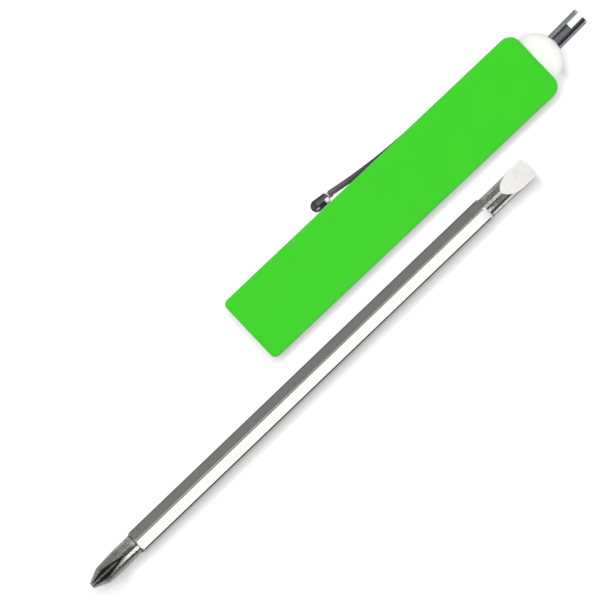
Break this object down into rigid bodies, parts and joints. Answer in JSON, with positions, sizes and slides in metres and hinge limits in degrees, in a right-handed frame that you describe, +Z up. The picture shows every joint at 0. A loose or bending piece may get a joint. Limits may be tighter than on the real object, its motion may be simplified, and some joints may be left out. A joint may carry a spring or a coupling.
{
  "type": "pocket screwdriver",
  "caption": "Square-bodied pocket screwdriver with a domed cap, a valve core fork and a sprung clip, and its reversible hexagonal blade lying beside it.",
  "frame": {"origin": "middle of the barrel's underside, on the table", "axes": "+X along the barrel from its mouth to its domed cap, +Y to the side with the pocket clip, +Z up from the table; the blade lies on the -Y side"},
  "size_m": [0.1538, 0.0289, 0.0157],
  "materials": {
    "green_plastic": "satin",
    "white_plastic": "gloss",
    "black_steel": "black oxide",
    "dark_plated_steel": "polished",
    "bright_plated_steel": "satin",
    "spring_steel": "bright"
  },
  "bodies": {
    "handle": {"barrel": "green_plastic", "top_cap": "white_plastic", "valve_fork": "black_steel", "blade_spring": "spring_steel"},
    "clip": {"pocket_clip": "dark_plated_steel"},
    "driver_blade": {"blade": "bright_plated_steel"}
  },
  "joints": [
    {"name": "clip_flex", "type": "hinge", "parent": "handle", "child": "clip", "pos_m": [0.03237, 0.00695, 0.00785], "axis": [0, 0, -1], "range_deg": [0, 3.5], "stiffness_Nm_per_rad": 1.5},
    {"name": "blade_lift", "type": "slide", "parent": "handle", "child": "driver_blade", "axis": [0, 0, 1], "range_m": [0, 0.04]}
  ]
}
